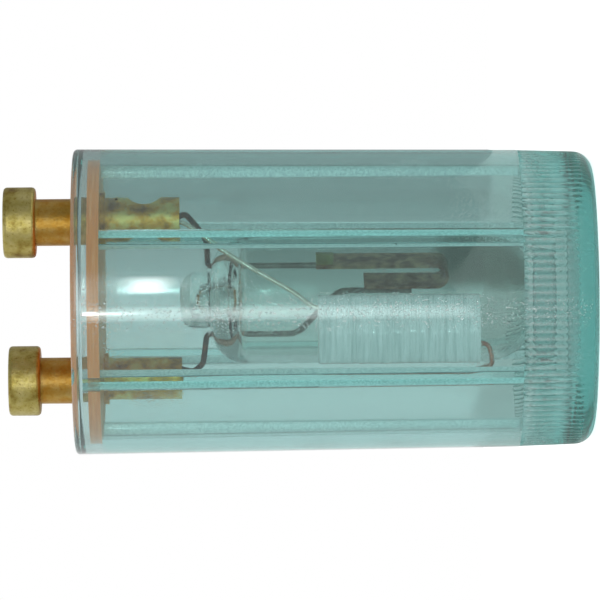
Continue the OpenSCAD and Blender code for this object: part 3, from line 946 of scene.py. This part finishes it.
def roll_shell(settings):
    """The wound roll, with crinkles round it and the edges of its turns on both ends."""
    outer = settings.radius / MM
    crinkle = settings.crinkle / MM
    count = 120
    middle = Vector((ROLL_ALONG, ROLL_FRONT, 0))
    length = ROLL_TOP - ROLL_BOTTOM

    def ring(radius, height, crinkled=1.0):
        points = []
        for i in range(count):
            a = 2 * math.pi * i / count
            round_it = Vector((1.1 * math.cos(a), 1.1 * math.sin(a), height * 3.2))
            fine = noise.noise(round_it * 1.3)
            broad = noise.noise(round_it * Vector((1, 1, 0.3)) + Vector((7, 0, 0)))
            r = radius - crinkle * crinkled * (0.5 + 0.5 * fine + 0.5 * broad)
            points.append(at(middle.x + r * math.cos(a), middle.y - r * math.sin(a), height))
        return points

    turns = [0.45 + 0.16 * i for i in range(12)]
    rings = []
    for i, radius in enumerate(turns):
        rings.append(ring(radius, ROLL_BOTTOM + (0.02 if i % 2 else 0.1), 0.3))
    rows = 90
    rings += [ring(outer - 0.06, ROLL_BOTTOM + 0.01, 0.6)]
    rings += [ring(outer, ROLL_BOTTOM + 0.06 + (length - 0.12) * i / rows) for i in range(rows + 1)]
    rings += [ring(outer - 0.06, ROLL_TOP - 0.01, 0.6)]
    for i, radius in enumerate(reversed(turns)):
        rings.append(ring(radius, ROLL_TOP - (0.02 if i % 2 else 0.1), 0.3))
    rings.append(ring(0.45, ROLL_TOP - 0.8, 0.3))
    rings.append([at(middle.x, middle.y, ROLL_TOP - 0.8)])
    rings.insert(0, ring(0.45, ROLL_BOTTOM + 0.8, 0.3))
    rings.insert(0, [at(middle.x, middle.y, ROLL_BOTTOM + 0.8)])
    return rings


class STARTER_OT_capacitor(bpy.types.Operator):
    """Wind the capacitor's film and make its leads"""

    bl_idname = "starter.capacitor"
    bl_label = "Capacitor"

    def execute(self, context):
        settings = context.scene.starter_capacitor
        mesh = skin_mesh("film_roll", [roll_shell(settings)], 40)
        add_piece("film_roll", mesh, metallised_film(settings), "film_roll", "capacitor_roll")
        self.add_leads(settings)
        return {"FINISHED"}

    def add_leads(self, settings):
        # Bright dipped tin, and bare copper that has gone dull
        tin = wire_metal("Tinned copper wire", settings.tin, "#F2EEE2", 0.6, 0.2, 1.0)
        copper = wire_metal("Dull copper wire", settings.copper, "#CF8F72", 0.7, 0.35, 0.9)
        side = WIRE_OFFSET
        diameter = 0.32

        def over(share):
            return ROLL_TOP + share * (PIN_END - ROLL_TOP)

        # The copper lead comes back up beside the roll
        edge = ROLL_ALONG - 2.5
        route_a = [
            at(ROLL_ALONG + 1.45, ROLL_FRONT, ROLL_TOP - 0.05),
            at(ROLL_ALONG + 1.45, ROLL_FRONT, ROLL_TOP + 0.3),
            at(0.5, ROLL_FRONT, over(0.17)),
            at(1.2, ROLL_FRONT, over(0.3)),
            at(2, ROLL_FRONT - 0.1, over(0.45)),
            at(2.75, ROLL_FRONT - 0.1, over(0.585)),
            at(4, ROLL_FRONT - 0.2, over(0.79)),
            at(PIN_ALONG - 0.15, PIN_FRONT + side * 0.6, PIN_END - 0.3),
            at(PIN_ALONG - 0.15, PIN_FRONT + side * 0.6, PIN_END + 1.37),
        ]
        route_b = [
            at(ROLL_ALONG - 1, ROLL_FRONT, ROLL_BOTTOM + 0.05),
            at(ROLL_ALONG - 1, ROLL_FRONT, ROLL_BOTTOM - 0.6),
            at(edge, ROLL_FRONT, ROLL_BOTTOM - 0.9),
            at(edge - 0.3, ROLL_FRONT - 0.2, ROLL_BOTTOM + 0.6),
            at(edge - 0.3, ROLL_FRONT - 0.5, ROLL_TOP - 0.6),
            at(edge - 0.3, ROLL_FRONT - 2, over(0.37)),
            at(0.3 - PIN_ALONG, -PIN_FRONT + 2.2, over(0.8)),
            at(side * 0.2 - PIN_ALONG, -PIN_FRONT + side * 0.95, PIN_END - 0.3),
            at(side * 0.2 - PIN_ALONG, -PIN_FRONT + side * 0.95, PIN_END + 2.7),
        ]
        add_wire("tinned_lead", route_a, diameter, 0.5, tin, "tinned_wire", "capacitor_lead_a")
        add_wire("copper_lead", route_b, diameter, 0.5, copper, "copper_wire", "capacitor_lead_b")


# The stage


class StageSettings(bpy.types.PropertyGroup):
    """The camera, the lamps and the floor."""

    camera_distance: length_property("Camera distance", "From the camera to the can's axis", 382)
    view_width: length_property("View width", "What the picture takes in at the can's axis", 41.32)
    view_height: length_property("View height", "Height at the middle of the picture", 20.1)
    roll: FloatProperty(
        name="Roll",
        description="How far the can leans in the picture",
        default=math.radians(0.52),
        subtype="ANGLE",
    )
    yaw: FloatProperty(
        name="Yaw",
        description="How far the pins' end is turned toward the camera",
        default=math.radians(0.46),
        subtype="ANGLE",
    )
    floor_size: length_property("Floor size", "Width of the floor", 300)
    floor: colour_property("Floor", "Colour of the floor", "#EFEFED")


def add_lamp(name, degrees, distance, height, size, radiance):
    """A soft rectangular lamp in metres, turned by degrees from the front, which faces the can."""
    turn = math.radians(degrees)
    target = Vector((0, 0, height))
    place = target + distance * (math.cos(turn) * FORWARD + math.sin(turn) * SIDEWAYS)
    data = bpy.data.lights.new(name, "AREA")
    data.shape = "RECTANGLE"
    data.size, data.size_y = size
    data.energy = radiance * math.pi * size[0] * size[1]
    # The diffuser is brightest in its middle and fades to its edges
    data.use_nodes = True
    tree = data.node_tree
    tree.nodes.clear()
    place_on_lamp = add_node(tree, "ShaderNodeNewGeometry").outputs["Parametric"]
    parts = add_node(tree, "ShaderNodeSeparateXYZ", links={0: place_on_lamp}).outputs
    fade = 1.0
    for part in (parts[0], parts[1]):
        # A parabola that is 1.25 in the middle and 0 at both edges
        share = calculate(tree, "MULTIPLY", part, calculate(tree, "SUBTRACT", 1.0, part))
        fade = calculate(tree, "MULTIPLY", calculate(tree, "MULTIPLY", share, 5.0), fade)
    glow = add_node(tree, "ShaderNodeEmission", links={"Strength": fade})
    output = tree.nodes.new("ShaderNodeOutputLight")
    tree.links.new(glow.outputs[0], output.inputs["Surface"])
    lamp = bpy.data.objects.new(name, data)
    bpy.context.collection.objects.link(lamp)
    back = (place - target).normalized()
    across = Vector((0, 0, 1)).cross(back)
    turned = Matrix((across, Vector((0, 0, 1)), back)).transposed()
    lamp.matrix_world = Matrix.Translation(place) @ turned.to_4x4()
    return lamp


class STARTER_OT_stage(bpy.types.Operator):
    """Make the floor, the lamps, the world and the camera"""

    bl_idname = "starter.stage"
    bl_label = "Stage"

    def execute(self, context):
        settings = context.scene.starter_stage
        self.make_floor(settings)
        self.make_world(context)
        self.make_lamps()
        self.make_camera(context, settings)
        context.scene.view_settings.view_transform = "Standard"
        return {"FINISHED"}

    def make_floor(self, settings):
        """A pale floor that looks white, apart from the starter's shadow."""
        half = settings.floor_size / 2
        mesh = bpy.data.meshes.new("floor")
        corners = [(-half, -half, 0), (half, -half, 0), (half, half, 0), (-half, half, 0)]
        mesh.from_pydata(corners, [], [(0, 1, 2, 3)])
        floor = bpy.data.objects.new("floor", mesh)
        bpy.context.collection.objects.link(floor)
        floor.location.z = -0.02 * MM
        material, tree, output = new_material("Pale floor")
        paint = add_node(tree, "ShaderNodeBsdfDiffuse")
        feed(tree, paint.inputs["Color"], settings.floor)
        path = add_node(tree, "ShaderNodeLightPath").outputs
        seen = calculate(tree, "ADD", path["Is Glossy Ray"], path["Is Transmission Ray"], clamp=True)
        seen = calculate(tree, "MULTIPLY", seen, 0.05)
        seen = calculate(tree, "MULTIPLY_ADD", path["Is Camera Ray"], 0.7, seen)
        glow = add_node(tree, "ShaderNodeEmission", links={"Strength": seen})
        both = add_node(tree, "ShaderNodeAddShader", links={0: paint.outputs[0], 1: glow.outputs[0]})
        tree.links.new(both.outputs[0], output.inputs["Surface"])
        mesh.materials.append(material)

    def make_world(self, context):
        """White behind the can, and greyer to the sides, so that clear pieces have dark edges."""
        world = bpy.data.worlds.new("Studio")
        context.scene.world = world
        world.use_nodes = True
        tree = world.node_tree
        tree.nodes.clear()
        output = tree.nodes.new("ShaderNodeOutputWorld")
        direction = add_node(tree, "ShaderNodeTexCoord").outputs["Generated"]
        side = distance_along(tree, direction, SIDEWAYS * MM)
        ahead = distance_along(tree, direction, FORWARD * MM)
        across = calculate(tree, "MULTIPLY_ADD", side, 0.5, 0.5)
        sides = ramp(
            tree,
            across,
            [
                (0.0, 0.8), (0.3, 0.75), (0.44, 1.0), (0.49, 0.93),
                (0.52, 0.58), (0.56, 0.4), (0.65, 0.34), (1.0, 0.42),
            ],
        )
        front = ramp(tree, calculate(tree, "MULTIPLY_ADD", ahead, 0.5, 0.5), [(0.5, 1.0), (0.75, 0.6)])
        sides = mix_colours(tree, 1.0, sides, front, "MULTIPLY")
        path = add_node(tree, "ShaderNodeLightPath").outputs
        mirrored = calculate(tree, "ADD", path["Is Glossy Ray"], path["Is Transmission Ray"], clamp=True)
        light = mix_colours(tree, mirrored, (0.68, 0.68, 0.68), sides)
        light = mix_colours(tree, path["Is Camera Ray"], light, (1, 1, 1))
        sky = add_node(tree, "ShaderNodeBackground", links={"Color": light})
        tree.links.new(sky.outputs[0], output.inputs["Surface"])

    def make_lamps(self):
        """A narrow lamp with its glow, which lights the front, a wide soft box and a short tube."""
        add_lamp("key", -9, 0.4, 0.058, (0.022, 0.055), 17)
        add_lamp("key_glow", -9.5, 0.403, 0.03, (0.085, 0.13), 2.8)
        add_lamp("softbox", 6, 0.42, 0.11, (0.25, 0.17), 1.4)
        add_lamp("tube", 12, 0.4, 0.031, (0.1, 0.0075), 8)

    def make_camera(self, context, settings):
        """Level with the can's middle, and rolled so that the pins point left in the picture."""
        data = bpy.data.cameras.new("camera")
        data.sensor_width = 36
        data.lens = data.sensor_width * settings.camera_distance / settings.view_width
        data.clip_start = 0.01
        data.clip_end = 10
        camera = bpy.data.objects.new("camera", data)
        bpy.context.collection.objects.link(camera)
        context.scene.camera = camera
        # Picture right is down the can, and picture up is sideways
        view = Matrix((Vector((0, 0, -1)), SIDEWAYS, FORWARD)).transposed()
        yaw = Matrix.Rotation(-settings.yaw, 3, SIDEWAYS)
        roll = Matrix.Rotation(-settings.roll, 3, FORWARD)
        turned = yaw @ roll @ view
        middle = Vector((0, 0, settings.view_height))
        place = middle + turned @ Vector((0, 0, settings.camera_distance))
        camera.matrix_world = Matrix.Translation(place) @ turned.to_4x4()


class STARTER_PT_panel(bpy.types.Panel):
    """The starter's settings and pieces"""

    bl_label = "Fluorescent starter"
    bl_idname = "STARTER_PT_panel"
    bl_space_type = "VIEW_3D"
    bl_region_type = "UI"
    bl_category = "Starter"

    def draw(self, context):
        for name, group in SETTINGS.items():
            settings = getattr(context.scene, name)
            for key in group.__annotations__:
                self.layout.prop(settings, key)
        for operator in OPERATORS:
            self.layout.operator(operator.bl_idname)


SETTINGS = {
    "starter_can": CanSettings,
    "starter_end": EndSettings,
    "starter_bulb": BulbSettings,
    "starter_capacitor": CapacitorSettings,
    "starter_stage": StageSettings,
}
OPERATORS = (
    STARTER_OT_can,
    STARTER_OT_disc,
    STARTER_OT_pins,
    STARTER_OT_bulb,
    STARTER_OT_capacitor,
    STARTER_OT_stage,
)
CLASSES = (*SETTINGS.values(), *OPERATORS, STARTER_PT_panel)


def register():
    for cls in CLASSES:
        bpy.utils.register_class(cls)
    for name, group in SETTINGS.items():
        setattr(bpy.types.Scene, name, PointerProperty(type=group))


def unregister():
    for name in SETTINGS:
        delattr(bpy.types.Scene, name)
    for cls in reversed(CLASSES):
        bpy.utils.unregister_class(cls)


def write_sizes():
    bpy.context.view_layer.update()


def main():
    register()
    bpy.ops.starter.can()
    bpy.ops.starter.disc()
    bpy.ops.starter.pins()
    bpy.ops.starter.bulb()
    bpy.ops.starter.capacitor()
    bpy.ops.starter.stage()
    write_sizes()


if __name__ == "__main__":
    main()
